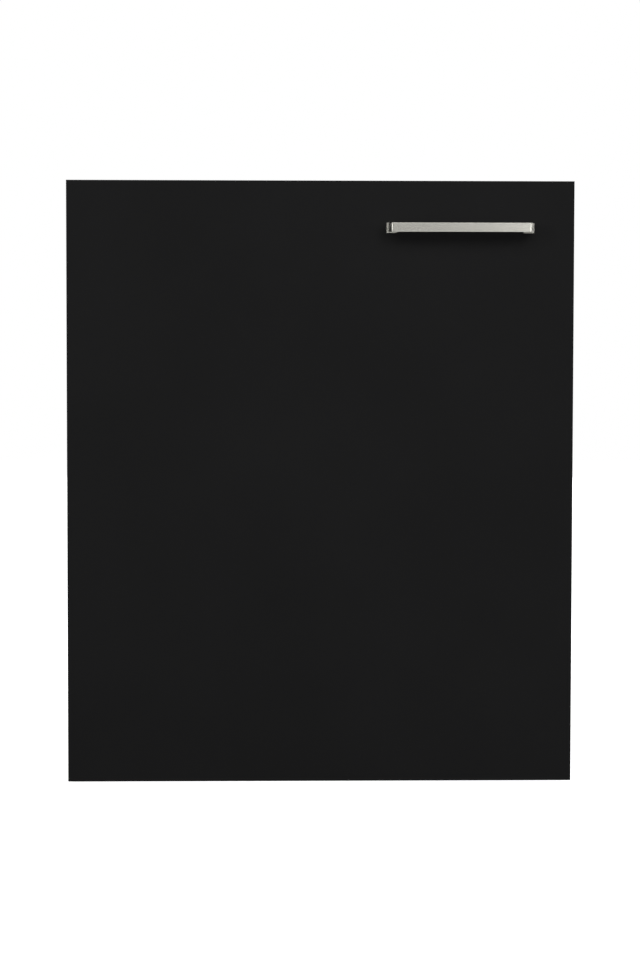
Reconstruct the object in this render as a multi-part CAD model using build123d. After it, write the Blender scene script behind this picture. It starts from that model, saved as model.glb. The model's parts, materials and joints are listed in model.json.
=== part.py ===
"""Integrated under-counter trash compactor, 600 mm module, with a full-height slab drawer front.

The bin stands in a drawer on full-extension slides. A motor under the rear bulkhead turns two vertical
power screws through a spur gear and a roller chain, and the screws drive a ram down into the bin.
Units are millimetres. +X is the user's right, -Y is the front, +Z is up. The origin is on the floor,
at the centre of the overall width and depth.
"""

import os
from math import acos, asin, atan2, cos, degrees, hypot, pi, radians, sin, tan

from build123d import *

# ---------------------------------------------------------------- driving dimensions
PANEL_W, PANEL_H, PANEL_T = 596.0, 709.0, 19.0  # slab front
PANEL_Z0 = 5.0  # clearance under the slab front
PANEL_EDGE = 0.5  # eased edge of the slab

HANDLE_X = 163.7  # handle centre, right of the middle
HANDLE_DROP = 55.0  # handle centre below the slab's top edge
HANDLE_CC = 160.0  # fixing centres
HANDLE_LEG = 9.0  # thickness of each leg
HANDLE_H = 10.5  # height of the flat bar
HANDLE_OUT = 32.0  # how far the bar stands off the slab
HANDLE_BAR = 7.0  # thickness of the bar
PAD_SPAN = 173.2  # over both pads that the legs stand on
PAD_W, PAD_H, PAD_T = 12.4, 11.7, 2.5

TOTAL_D = 600.0  # handle to rear gland
CABINET_W = 592.0
CABINET_D = 540.0
CABINET_Z0, CABINET_Z1 = 20.0, 713.0
SHEET = 1.0  # side and rear sheet
SWAGE = 0.6  # depth of the pressed panels that stiffen it
FRAME_SHEET = 2.0  # base, deck and top

BIN_GAP = 3.0  # gap between slab and cabinet
TRAVEL = 410.0  # drawer travel
RAM_STROKE = 200.0
SCREW_LEAD = 4.0
SCREW_R, JOURNAL_R, SEAT_R = 9.0, 6.0, 7.0
SCREW_X = 264.0
RUN = 0.05  # radial clearance of a running fit

PINION_TEETH, WHEEL_TEETH, GEAR_MODULE = 18, 72, 1.6
CHAIN_PITCH = 8.0
DRIVE_TEETH, SCREW_TEETH = 10, 15

# ---------------------------------------------------------------- places worked out from them
Y_FRONT = -TOTAL_D / 2
SLAB_Y0 = Y_FRONT + HANDLE_OUT
SLAB_Y1 = SLAB_Y0 + PANEL_T
CAB_Y0 = SLAB_Y1 + BIN_GAP
CAB_Y1 = CAB_Y0 + CABINET_D
PANEL_Z1 = PANEL_Z0 + PANEL_H
HANDLE_Z = PANEL_Z1 - HANDLE_DROP
CAB_X = CABINET_W / 2

DECK_Z0, DECK_Z1 = 78.0, 80.0
BULKHEAD_Y = 178.0  # front face of the inner rear wall
BIN_Y, BIN_Z0, BIN_Z1 = -32.0, 92.0, 420.0  # bin centre, foot and rim
BIN_TOP_X, BIN_TOP_Y = 232.0, 187.0  # half sizes at the rim
BIN_FOOT_X, BIN_FOOT_Y = 225.0, 180.0  # half sizes at the foot
BIN_WALL = 1.6

RAIL_Z, RAIL_Y0, RAIL_LEN = 112.0, -228.0, 400.0
LUG_X = 250.0  # inner face of the deck's rail lugs
SLIDE_DEPTH = 12.5

RAM_Z0 = 436.0  # underside of the ram when raised
CROSS_Z0, CROSS_Z1 = 650.0, 686.0
NUT_R = 15.0

SPROCKET_Z = 62.0
JACK_Y = 215.0
GEAR_Z0, GEAR_Z1 = 36.0, 46.0
GEAR_CENTRES = (PINION_TEETH + WHEEL_TEETH) * GEAR_MODULE / 2
MOTOR_Y = 236.0
MOTOR_X = (GEAR_CENTRES**2 - (MOTOR_Y - JACK_Y) ** 2) ** 0.5
MOTOR_Z0, MOTOR_Z1, MOTOR_R = 84.0, 226.0, 44.0
CORE_Z0, CORE_Z1, CORE_R = 122.0, 188.0, 26.0  # the rotor's core

FAN_X, FAN_Z, FAN_SIZE, FAN_BORE = -130.0, 560.0, 92.0, 43.0
CONTROL_Y, CONTROL_Z0, CONTROL_Z1, CONTROL_X = -222.0, 652.0, 704.0, 200.0
START_X, STOP_X, KNOB_X = -60.0, 0.0, 90.0
CONTROL_Z = (CONTROL_Z0 + CONTROL_Z1) / 2
FOOT_X, FOOT_Y0, FOOT_Y1 = 250.0, -185.0, 258.0
SIDE_HOLE_Y, SIDE_HOLES_Z = -228.0, (140.0, 680.0)
TOP_HOLE_X, TOP_HOLE_Y = 250.0, -212.0
REAR_SCREW_X, REAR_SCREWS_Z = 289.0, (110.0, 395.0, 690.0)
GLAND_X, GLAND_Z, GLAND_R = 210.0, 118.0, 4.25
SWITCH_X, SWITCH_Z = 120.0, 700.0
INTERLOCK_X, INTERLOCK_Z = -190.0, 128.0

CENTRE = (Align.CENTER, Align.CENTER, Align.CENTER)
UP = (Align.CENTER, Align.CENTER, Align.MIN)


# ---------------------------------------------------------------- shared shapes
def block(x0, x1, y0, y1, z0, z1):
    """A box from its two corners."""
    return Pos((x0 + x1) / 2, (y0 + y1) / 2, (z0 + z1) / 2) * Box(x1 - x0, y1 - y0, z1 - z0)


def rod(x, y, z0, z1, r):
    """A vertical cylinder."""
    return Pos(x, y, z0) * Cylinder(r, z1 - z0, align=UP)


def rod_y(x, z, y0, y1, r):
    """A cylinder along +Y."""
    return Pos(x, y0, z) * Rot(-90, 0, 0) * Cylinder(r, y1 - y0, align=UP)


def rod_x(y, z, x0, x1, r):
    """A cylinder along +X."""
    return Pos(x0, y, z) * Rot(0, 90, 0) * Cylinder(r, x1 - x0, align=UP)


def slab(half_x, half_y, z0, z1, radius, y=BIN_Y):
    """An upright prism on a rounded rectangle."""
    outline = Pos(0, y, z0) * RectangleRounded(2 * half_x, 2 * half_y, radius)
    return extrude(outline, amount=z1 - z0)


def tapered(foot_x, foot_y, top_x, top_y, z0, z1, radius, y=BIN_Y):
    """A rounded rectangle that widens from foot to top."""
    foot = Pos(0, y, z0) * RectangleRounded(2 * foot_x, 2 * foot_y, radius)
    top = Pos(0, y, z1) * RectangleRounded(2 * top_x, 2 * top_y, radius)
    return loft([foot, top])


def mirrored(shape):
    """The shape and its image on the other side of the middle plane, as two solids."""
    return Compound([*shape.solids(), *mirror(shape, Plane.YZ).solids()])


def tooth_ring(teeth, root_r, tip_r, root_share, tip_share, z0, z1):
    """A toothed disc with straight flanks: each tooth fills the given shares of its pitch."""
    pitch = 2 * pi / teeth
    points = []
    for k in range(teeth):
        for share, r in ((-root_share, root_r), (-tip_share, tip_r), (tip_share, tip_r), (root_share, root_r)):
            a = pitch * (k + share / 2)
            points.append((r * cos(a), r * sin(a)))
    return extrude(Pos(0, 0, z0) * make_face(Polyline(points, close=True)), amount=z1 - z0)


def involute_gear(teeth, z0, z1, backlash=0.3):
    """A spur gear with 20 degree involute flanks and its first tooth centred on +X."""
    pressure = radians(20)
    pitch_r = teeth * GEAR_MODULE / 2
    base_r = pitch_r * cos(pressure)
    root_r, tip_r = pitch_r - 1.25 * GEAR_MODULE, pitch_r + 0.95 * GEAR_MODULE
    start_r = max(base_r, root_r)
    half = pi / (2 * teeth) - backlash / (2 * pitch_r)
    flank = []
    for step in range(5):
        r = start_r + (tip_r - start_r) * step / 4
        roll = acos(min(1.0, base_r / r))
        flank.append((r, half + (tan(pressure) - pressure) - (tan(roll) - roll)))
    if root_r < start_r:
        flank.insert(0, (root_r, flank[0][1]))
    points = []
    for k in range(teeth):
        middle = 2 * pi * k / teeth
        for r, a in flank:
            points.append((r * cos(middle - a), r * sin(middle - a)))
        for r, a in reversed(flank):
            points.append((r * cos(middle + a), r * sin(middle + a)))
    return extrude(Pos(0, 0, z0) * make_face(Polyline(points, close=True)), amount=z1 - z0)


def chain_stops():
    """The three sprockets that the chain runs round, anticlockwise: centre and pitch radius."""
    screw_r = CHAIN_PITCH / (2 * sin(pi / SCREW_TEETH))
    drive_r = CHAIN_PITCH / (2 * sin(pi / DRIVE_TEETH))
    return [(-SCREW_X, BIN_Y, screw_r), (SCREW_X, BIN_Y, screw_r), (0.0, JACK_Y, drive_r)]


def chain_spans(offset=0.0):
    """The straight runs between neighbouring sprockets, as pairs of tangent points."""
    stops = chain_stops()
    spans = []
    for (xa, ya, ra), (xb, yb, rb) in zip(stops, stops[1:] + stops[:1]):
        along = atan2(yb - ya, xb - xa)
        normal = along - pi / 2 + asin((ra - rb) / hypot(xb - xa, yb - ya))
        out = (cos(normal), sin(normal))
        start = (xa + (ra + offset) * out[0], ya + (ra + offset) * out[1])
        end = (xb + (rb + offset) * out[0], yb + (rb + offset) * out[1])
        spans.append((start, end, normal))
    return spans


def chain_face(offset):
    """The area inside the chain's line, moved out by offset."""
    spans = chain_spans(offset)
    stops = chain_stops()
    edges = []
    for k, (start, end, normal) in enumerate(spans):
        edges.append(Line(start, end))
        x, y, r = stops[(k + 1) % 3]
        turn = (spans[(k + 1) % 3][2] - normal) % (2 * pi)
        middle = normal + turn / 2
        via = (x + (r + offset) * cos(middle), y + (r + offset) * sin(middle))
        edges.append(ThreePointArc(end, via, spans[(k + 1) % 3][0]))
    return make_face(edges)


# ---------------------------------------------------------------- drawer front
def front_panel():
    """The slab front, with eased edges and blind holes for its own and the handle's screws."""
    body = block(-PANEL_W / 2, PANEL_W / 2, SLAB_Y0, SLAB_Y1, PANEL_Z0, PANEL_Z1)
    body = fillet(body.edges().group_by(Axis.Y)[0], PANEL_EDGE)
    for x, z in panel_screw_places():
        body -= rod_y(x, z, SLAB_Y1 - 12, SLAB_Y1 + 1, 2.0)
    for x in handle_screw_xs():
        body -= rod_y(x, HANDLE_Z, SLAB_Y0 - 1, SLAB_Y1 + 1, 2.25)
        body -= rod_y(x, HANDLE_Z, SLAB_Y1 - 4, SLAB_Y1 + 1, 5.0)
    return body


def handle_screw_xs():
    return (HANDLE_X - HANDLE_CC / 2, HANDLE_X + HANDLE_CC / 2)


def panel_screw_places():
    """The six screws that hold the slab to the drawer front frame."""
    return [(x, z) for x in (-255.0, 255.0) for z in (120.0, 395.0, 670.0)]


def pull_handle():
    """A cast D handle: a flat bar with rounded outer corners, and legs that stand on small square pads."""
    half = (HANDLE_CC + HANDLE_LEG) / 2
    outer = Pos(0, HANDLE_OUT / 2) * Rectangle(2 * half, HANDLE_OUT)
    outer = fillet(outer.vertices().group_by(Axis.Y)[-1], 5.0)
    inside_h = HANDLE_OUT - HANDLE_BAR
    inner = Pos(0, inside_h / 2) * Rectangle(2 * (half - HANDLE_LEG), inside_h)
    inner = fillet(inner.vertices().group_by(Axis.Y)[-1], 3.0)
    body = extrude(outer - inner, amount=HANDLE_H)
    body = Pos(HANDLE_X, SLAB_Y0, HANDLE_Z - HANDLE_H / 2) * mirror(body, Plane.XZ)
    rims = body.edges().filter_by(lambda e: e.center().Y < SLAB_Y0 - 1 and e.bounding_box().size.Z < 0.01)
    body = fillet(rims, 0.5)
    for side in (-1, 1):
        x = HANDLE_X + side * (PAD_SPAN - PAD_W) / 2
        pad = block(x - PAD_W / 2, x + PAD_W / 2, SLAB_Y0 - PAD_T, SLAB_Y0, HANDLE_Z - PAD_H / 2, HANDLE_Z + PAD_H / 2)
        body += fillet(pad.edges().group_by(Axis.Y)[0], 0.3)
    for x in handle_screw_xs():
        body -= rod_y(x, HANDLE_Z, SLAB_Y0 - 18, SLAB_Y0 + 1, 1.7)
    return body


def screw(x, z, y_head, length, shank_r, head_r, head_h, forward=True):
    """A pan-head screw along Y with a cross recess, its head at y_head."""
    way = -1 if forward else 1
    lo, hi = sorted((y_head, y_head + way * length))
    head_lo, head_hi = sorted((y_head, y_head - way * head_h))
    body = rod_y(x, z, lo, hi, shank_r) + rod_y(x, z, head_lo, head_hi, head_r)
    deep = (head_lo, head_lo + 0.5 * head_h) if way == 1 else (head_hi - 0.5 * head_h, head_hi)
    for w, h in ((head_r, 0.8), (0.8, head_r)):
        body -= block(x - w / 2, x + w / 2, deep[0], deep[1], z - h / 2, z + h / 2)
    return body


def front_screws():
    """Two handle screws with heads sunk in the slab's back, and six slab screws through the frame."""
    parts = [screw(x, HANDLE_Z, SLAB_Y1 - 4, 28.0, 1.65, 3.8, 2.6) for x in handle_screw_xs()]
    parts += [screw(x, z, SLAB_Y1 + 1.6, 12.5, 1.9, 4.2, 2.4) for x, z in panel_screw_places()]
    return Compound([s for p in parts for s in p.solids()])


FRAME_X, FRAME_Z0, FRAME_Z1, FRAME_D, FRAME_T = 272.0, 90.0, 703.0, 17.5, 1.5


def front_frame():
    """The drawer's sheet-metal front: a pan open towards the slab, with screw lips on its flanges."""
    y0, y1 = SLAB_Y1, SLAB_Y1 + FRAME_D
    body = block(-FRAME_X, FRAME_X, y0, y1, FRAME_Z0, FRAME_Z1)
    body = fillet(body.edges().filter_by(Axis.Y), 10.0)
    body = fillet(body.edges().group_by(Axis.Y)[-1], 3.0)
    lip = 34.0
    body -= block(-FRAME_X + FRAME_T, FRAME_X - FRAME_T, y0 + FRAME_T, y1 - FRAME_T,
                  FRAME_Z0 + FRAME_T, FRAME_Z1 - FRAME_T)
    body -= block(-FRAME_X + lip, FRAME_X - lip, y0 - 1, y0 + FRAME_T + 1, FRAME_Z0 + lip, FRAME_Z1 - lip)
    for x, z in panel_screw_places():
        body -= rod_y(x, z, y0 - 1, y0 + FRAME_T + 1, 2.1)
        body -= rod_y(x, z, y1 - FRAME_T - 1, y1 + 1, 6.0)
    return body


def front_gasket():
    """A rubber seal round the drawer opening, stuck to the slab's back."""
    y0, y1 = SLAB_Y1, SLAB_Y1 + 2.6
    ring = block(-291, 291, y0, y1, 80, 709) - block(-282, 282, y0 - 1, y1 + 1, 89, 706)
    return ring


# ---------------------------------------------------------------- drawer and bin
CARRIER_X, CARRIER_Y0, CARRIER_Y1, CARRIER_Z1 = 237.5, -231.5, 162.0, 150.0


def bin_carrier():
    """The open steel tray that the bin stands in: floor, four walls and drain-free beads."""
    y0 = CARRIER_Y0
    body = block(-CARRIER_X, CARRIER_X, y0, CARRIER_Y1, BIN_Z0 - 1.5, CARRIER_Z1)
    body -= block(-CARRIER_X + 1.5, CARRIER_X - 1.5, y0 + 1.5, CARRIER_Y1 - 1.5, BIN_Z0, CARRIER_Z1 + 1)
    for x in (-120, 0, 120):
        window = Pos(x, BIN_Y, BIN_Z0 - 3) * extrude(RectangleRounded(70, 220, 12), amount=8)
        body -= window
    return body


def bin_body():
    """The tapered refuse bin with a rolled rim, two swaged bands and a dished floor."""
    body = tapered(BIN_FOOT_X, BIN_FOOT_Y, BIN_TOP_X, BIN_TOP_Y, BIN_Z0, BIN_Z1, 26.0)
    w = BIN_WALL
    bands = []
    for z in (190.0, 300.0):
        share = (z - BIN_Z0) / (BIN_Z1 - BIN_Z0)
        hx = BIN_FOOT_X + (BIN_TOP_X - BIN_FOOT_X) * share + 2.0
        hy = BIN_FOOT_Y + (BIN_TOP_Y - BIN_FOOT_Y) * share + 2.0
        bands.append((hx, hy, z))
    for hx, hy, z in bands:
        body += slab(hx, hy, z, z + 16, 27.0)
    body += slab(BIN_TOP_X + 3.0, BIN_TOP_Y + 3.0, BIN_Z1 - 8, BIN_Z1, 29.0)
    body -= tapered(BIN_FOOT_X - w, BIN_FOOT_Y - w, BIN_TOP_X - w, BIN_TOP_Y - w,
                    BIN_Z0 + w, BIN_Z1 + 0.01, 26.0 - w)
    for hx, hy, z in bands:
        body -= slab(hx - w, hy - w, z + w, z + 16 - w, 27.0 - w)
    return body


# ---------------------------------------------------------------- telescopic slides
def c_channel(depth_web, depth_lip, half_h, lip_t=1.5):
    """One right-hand slide member: a web at depth_web and lips that reach depth_lip, both from the lug."""
    near, far = sorted((depth_web, depth_lip))
    web = block(LUG_X - depth_web - 1.5, LUG_X - depth_web, RAIL_Y0, RAIL_Y0 + RAIL_LEN,
                RAIL_Z - half_h, RAIL_Z + half_h)
    for side in (-1, 1):
        z_out, z_in = RAIL_Z + side * half_h, RAIL_Z + side * (half_h - lip_t)
        web += block(LUG_X - far - (1.5 if depth_web > depth_lip else 0), LUG_X - near,
                     RAIL_Y0, RAIL_Y0 + RAIL_LEN, min(z_in, z_out), max(z_in, z_out))
    return web


def outer_rail():
    return c_channel(0.0, 8.6, 22.5)


def middle_rail():
    """An I-shaped member that runs on balls between the outer and the inner rail."""
    body = c_channel(4.2, 9.2, 19.4)
    for side in (-1, 1):
        z_out, z_in = RAIL_Z + side * 19.4, RAIL_Z + side * 17.9
        body += block(LUG_X - 4.2, LUG_X - 2.2, RAIL_Y0, RAIL_Y0 + RAIL_LEN, min(z_in, z_out), max(z_in, z_out))
    return body


def inner_rail():
    return c_channel(SLIDE_DEPTH - 1.5, 7.0, 15.0)


# ---------------------------------------------------------------- cabinet
def base_pan():
    """The folded base tray, with weld-nut collars for the feet and air slots under the motor."""
    body = block(-CAB_X, CAB_X, CAB_Y0 + 2, CAB_Y1, CABINET_Z0, DECK_Z0)
    body -= block(-CAB_X + FRAME_SHEET, CAB_X - FRAME_SHEET, CAB_Y0 + 4, CAB_Y1 - FRAME_SHEET,
                  CABINET_Z0 + FRAME_SHEET, DECK_Z0 + 1)
    for x, y in foot_places():
        body += rod(x, y, CABINET_Z0, CABINET_Z0 + 14, 9.0)
        body -= rod(x, y, CABINET_Z0 - 1, CABINET_Z0 + 15, 5.0 + RUN)
    for k in range(5):
        slot = Pos(MOTOR_X + 10 + 14 * k, 140, CABINET_Z0 - 1) * extrude(SlotOverall(60, 6, rotation=90), amount=4)
        body -= slot
    return body


def foot_places():
    return [(x, y) for x in (-FOOT_X, FOOT_X) for y in (FOOT_Y0, FOOT_Y1)]


def deck_plate():
    """The floor over the drive, with openings for the screws and folded lugs for the slides."""
    body = block(-CAB_X, CAB_X, CAB_Y0 + 2, CAB_Y1, DECK_Z0, DECK_Z1)
    for x in (-SCREW_X, SCREW_X):
        body -= rod(x, BIN_Y, DECK_Z0 - 1, DECK_Z1 + 1, 12.0)
    body -= rod(MOTOR_X, MOTOR_Y, DECK_Z0 - 1, DECK_Z1 + 1, 16.0)
    body -= rod(0, JACK_Y, DECK_Z0 - 1, DECK_Z1 + 1, 10.0)
    for y in (-205.0, -85.0, 25.0, 130.0):
        lug = block(LUG_X, LUG_X + 2, y, y + 36, DECK_Z1, RAIL_Z + 22.5)
        body += mirrored(lug)
    return body


def side_panel():
    """The right side: a thin sheet with front and rear returns, two swages and two fixing holes."""
    x1 = CAB_X
    x0 = x1 - SHEET
    body = block(x0, x1, CAB_Y0, CAB_Y1, DECK_Z1, CABINET_Z1 - FRAME_SHEET)
    body += block(x1 - 14, x1, CAB_Y0, CAB_Y0 + SHEET, DECK_Z1, CABINET_Z1 - FRAME_SHEET)
    body += block(x1 - 12, x1, CAB_Y1 - 2 * SHEET, CAB_Y1 - SHEET, DECK_Z1, CABINET_Z1 - FRAME_SHEET)
    for z0, z1 in ((150.0, 380.0), (430.0, 660.0)):
        face = Pos(x0 - SWAGE, (CAB_Y0 + CAB_Y1) / 2, (z0 + z1) / 2) * Rot(0, 90, 0)
        body += face * extrude(RectangleRounded(z1 - z0, 400, 18), amount=SHEET)
        body -= face * Pos(0, 0, SHEET) * extrude(RectangleRounded(z1 - z0 - 3, 397, 16.5), amount=SHEET)
    for z in SIDE_HOLES_Z:
        body -= rod_x(SIDE_HOLE_Y, z, x0 - 1, x1 + 1, 2.25)
    for z in REAR_SCREWS_Z:
        body -= rod_y(REAR_SCREW_X, z, CAB_Y1 - 3, CAB_Y1, 1.7)
    return body


def top_panel():
    """The top sheet with a short front fold and two holes for worktop screws."""
    body = block(-CAB_X, CAB_X, CAB_Y0, CAB_Y1, CABINET_Z1 - FRAME_SHEET, CABINET_Z1)
    body += block(-CAB_X + 14, CAB_X - 14, CAB_Y0, CAB_Y0 + SHEET, CABINET_Z1 - 6.5, CABINET_Z1 - FRAME_SHEET)
    for x in (-TOP_HOLE_X, TOP_HOLE_X):
        body -= rod(x, TOP_HOLE_Y, CABINET_Z1 - 3, CABINET_Z1 + 1, 2.5)
    face = Pos(0, 60, CABINET_Z1 - FRAME_SHEET - SWAGE)
    body += face * extrude(RectangleRounded(420, 320, 20), amount=1.0)
    body -= face * Pos(0, 0, FRAME_SHEET) * extrude(RectangleRounded(416, 316, 18), amount=1.0)
    return body


def rear_panel():
    """The rear sheet, with rows of air slots at the motor and the fan, and the gland's hole."""
    y1 = CAB_Y1
    body = block(-CAB_X + 1, CAB_X - 1, y1 - SHEET, y1, DECK_Z1, CABINET_Z1 - FRAME_SHEET)
    slots = [(MOTOR_X - 60 + 15 * k, 165.0, 90.0) for k in range(9)]
    slots += [(FAN_X - 45 + 11.25 * k, FAN_Z, 84.0) for k in range(9)]
    for x, z, long in slots:
        cut = Pos(x, y1 + 1, z) * Rot(90, 0, 0) * extrude(SlotOverall(long, 5, rotation=90), amount=4)
        body -= cut
    body -= rod_y(GLAND_X, GLAND_Z, y1 - 2, y1 + 1, 8.0)
    for x in (-REAR_SCREW_X, REAR_SCREW_X):
        for z in REAR_SCREWS_Z:
            body -= rod_y(x, z, y1 - 2, y1 + 1, 1.7)
    return body


def inner_rear_wall():
    """The bulkhead between the bin and the machinery, with the filter window and the interlock hole."""
    y0 = BULKHEAD_Y
    half = CAB_X - SHEET - SWAGE
    body = block(-half, half, y0, y0 + SHEET, DECK_Z1, CABINET_Z1 - FRAME_SHEET - SWAGE)
    body -= rod_y(FAN_X, FAN_Z, y0 - 1, y0 + 2, FAN_BORE)
    body -= block(40, 160, y0 - 1, y0 + 2, 520, 600)
    for z in (510.0, 612.0):
        body += block(FAN_X - 62, FAN_X + 62, y0 - 19, y0, z - 1, z)
    return body


def upper_crossbeam():
    """The channel across the top that holds the upper ends of the screws."""
    y0, y1, z0, z1 = BIN_Y - 30, BIN_Y + 30, 692.0, 710.0
    body = block(-CAB_X + 2, CAB_X - 2, y0, y1, z0, z1)
    body -= block(-CAB_X + 1, CAB_X - 1, y0 + 2, y1 - 2, z0 + 2, z1 + 1)
    for x in (-SCREW_X, SCREW_X):
        body -= rod(x, BIN_Y, z0 - 1, z1 + 1, 11.0)
    return body


def guide_post():
    """The right-hand channel that stiffens the side and steadies the crosshead."""
    x0, x1 = CAB_X - 12, CAB_X - 2.2
    body = block(x0, x1, BIN_Y - 28, BIN_Y + 28, DECK_Z1, 692.0)
    body -= block(x0 + 1.5, x1 + 1, BIN_Y - 26.5, BIN_Y + 26.5, DECK_Z1 - 1, 693.0)
    return body


def upper_screw_bushes():
    """Flanged bronze bushes for the screws' top journals."""
    bush = rod(SCREW_X, BIN_Y, 692.0, 708.0, 10.98) + rod(SCREW_X, BIN_Y, 690.0, 692.0, 14.0)
    bush -= rod(SCREW_X, BIN_Y, 689.0, 709.0, JOURNAL_R + RUN)
    return mirrored(bush)


def lower_screw_bearings():
    """Cast pillow blocks with a thrust collar for the screws' lower journals."""
    z0 = CABINET_Z0 + FRAME_SHEET
    body = slab_at(SCREW_X, BIN_Y, 44, 44, z0, z0 + 10, 6) + rod(SCREW_X, BIN_Y, z0, 50.0, 15.0)
    body -= rod(SCREW_X, BIN_Y, z0 + 2, 51.0, JOURNAL_R + RUN)
    for dx in (-16, 16):
        for dy in (-16, 16):
            body -= rod(SCREW_X + dx, BIN_Y + dy, z0 - 1, z0 + 11, 2.6)
    return mirrored(body)


def slab_at(x, y, w, d, z0, z1, radius):
    return extrude(Pos(x, y, z0) * RectangleRounded(w, d, radius), amount=z1 - z0)


# ---------------------------------------------------------------- drive
def power_screw():
    """The right-hand screw at its thread's outer diameter, with a sprocket seat and two journals."""
    body = rod(SCREW_X, BIN_Y, 25.0, 52.0, JOURNAL_R)
    body += rod(SCREW_X, BIN_Y, 52.0, 70.0, SEAT_R)
    body += rod(SCREW_X, BIN_Y, 70.0, 688.0, SCREW_R)
    body += rod(SCREW_X, BIN_Y, 688.0, 706.0, JOURNAL_R)
    return body


def sprocket(teeth, bore_r, hub_r):
    """A chain sprocket with a hub on both sides, centred on the origin's axis."""
    pitch_r = CHAIN_PITCH / (2 * sin(pi / teeth))
    z0, z1 = SPROCKET_Z - 1.4, SPROCKET_Z + 1.4
    body = tooth_ring(teeth, pitch_r - 2.6, pitch_r + 2.0, 0.72, 0.26, z0, z1)
    body += rod(0, 0, SPROCKET_Z - 7, SPROCKET_Z + 7, hub_r)
    if bore_r:
        body -= rod(0, 0, SPROCKET_Z - 8, SPROCKET_Z + 8, bore_r)
    return body


def screw_sprocket():
    return Pos(SCREW_X, BIN_Y, 0) * sprocket(SCREW_TEETH, SEAT_R + 0.02, 11.5)


def jackshaft():
    """The short shaft that carries the gear wheel, with its sprocket cut on it."""
    body = Pos(0, JACK_Y, 0) * sprocket(DRIVE_TEETH, 0, 8.0)
    body += rod(0, JACK_Y, 25.0, 77.0, JOURNAL_R)
    return body


def reduction_gear():
    """The large wheel, webbed, with its gap facing the pinion."""
    wheel = involute_gear(WHEEL_TEETH, GEAR_Z0, GEAR_Z1)
    outer, inner = 49.0, 14.0
    for z0, z1 in ((GEAR_Z0 - 1, GEAR_Z0 + 3), (GEAR_Z1 - 3, GEAR_Z1 + 1)):
        wheel -= rod(0, 0, z0, z1, outer) - rod(0, 0, z0 - 1, z1 + 1, inner)
    for k in range(6):
        a = radians(60 * k)
        wheel -= rod(31.5 * cos(a), 31.5 * sin(a), GEAR_Z0 - 1, GEAR_Z1 + 1, 10.0)
    wheel -= rod(0, 0, GEAR_Z0 - 1, GEAR_Z1 + 1, JOURNAL_R + 0.02)
    to_pinion = degrees(atan2(MOTOR_Y - JACK_Y, MOTOR_X))
    return Pos(0, JACK_Y, 0) * Rot(0, 0, to_pinion + 180.0 / WHEEL_TEETH) * wheel


def motor_rotor():
    """The motor's shaft with the pinion cut on its lower end and the laminated core between its rings."""
    to_wheel = degrees(atan2(JACK_Y - MOTOR_Y, -MOTOR_X))
    body = involute_gear(PINION_TEETH, GEAR_Z0 - 1, GEAR_Z1 + 1)
    body = Pos(MOTOR_X, MOTOR_Y, 0) * Rot(0, 0, to_wheel) * body
    body += rod(MOTOR_X, MOTOR_Y, 30.0, MOTOR_Z1 + 12, 5.0)
    body += rod(MOTOR_X, MOTOR_Y, CORE_Z0, CORE_Z1, CORE_R)
    for z in (CORE_Z0 - 5, CORE_Z1):
        body += rod(MOTOR_X, MOTOR_Y, z, z + 5, CORE_R - 4)
    return body


def motor_housing():
    """The motor: foot plate, two vented end bells and the stator between them, hollow for the rotor."""
    x, y = MOTOR_X, MOTOR_Y
    body = slab_at(x, y, 104, 104, DECK_Z1, MOTOR_Z0, 8)
    body += rod(x, y, MOTOR_Z0, MOTOR_Z1, MOTOR_R - 3)
    body += rod(x, y, MOTOR_Z0 + 42, MOTOR_Z1 - 42, MOTOR_R)
    for z in (MOTOR_Z0 + 36, MOTOR_Z1 - 42):
        body += rod(x, y, z, z + 6, MOTOR_R + 2)
    for k in range(8):
        a = radians(45 * k + 22.5)
        for z in (MOTOR_Z0 + 10, MOTOR_Z1 - 32):
            vent = Rot(0, 0, degrees(a)) * block(MOTOR_R - 8, MOTOR_R, -3, 3, 0, 20)
            body -= Pos(x, y, z) * vent
    body += rod(x, y, MOTOR_Z1, MOTOR_Z1 + 6, 14.0)
    body -= rod(x, y, DECK_Z1 - 1, MOTOR_Z1 + 7, 5.0 + RUN)
    body -= rod(x, y, CORE_Z0 - 12, CORE_Z1 + 12, CORE_R + 1)
    return body


def run_capacitor():
    """The motor's capacitor can in its clip, with two terminals on top."""
    x, y, z = -50.0, 250.0, DECK_Z1
    body = rod(x, y, z, z + 92, 20.0)
    body = fillet(body.edges().group_by(Axis.Z)[-1], 2.5)
    ring = rod(x, y, z + 40, z + 56, 22.0) + block(x - 30, x + 30, y + 19, y + 22, z + 40, z + 56)
    body += ring
    for dx in (-7, 7):
        body += block(x + dx - 3, x + dx + 3, y - 0.4, y + 0.4, z + 91, z + 100)
    return body


def jackshaft_bearings():
    """A flanged bush on the base pan and another hung under the deck."""
    z0 = CABINET_Z0 + FRAME_SHEET
    low = rod(0, JACK_Y, z0, z0 + 3, 20.0) + rod(0, JACK_Y, z0, z0 + 11, 11.0)
    low -= rod(0, JACK_Y, z0 + 1, z0 + 12, JOURNAL_R + RUN)
    high = rod(0, JACK_Y, DECK_Z0 - 2.5, DECK_Z0, 18.0) + rod(0, JACK_Y, DECK_Z0 - 7, DECK_Z0, 9.8)
    high -= rod(0, JACK_Y, DECK_Z0 - 8, DECK_Z0 + 1, JOURNAL_R + RUN)
    return Compound([*low.solids(), *high.solids()])


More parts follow.
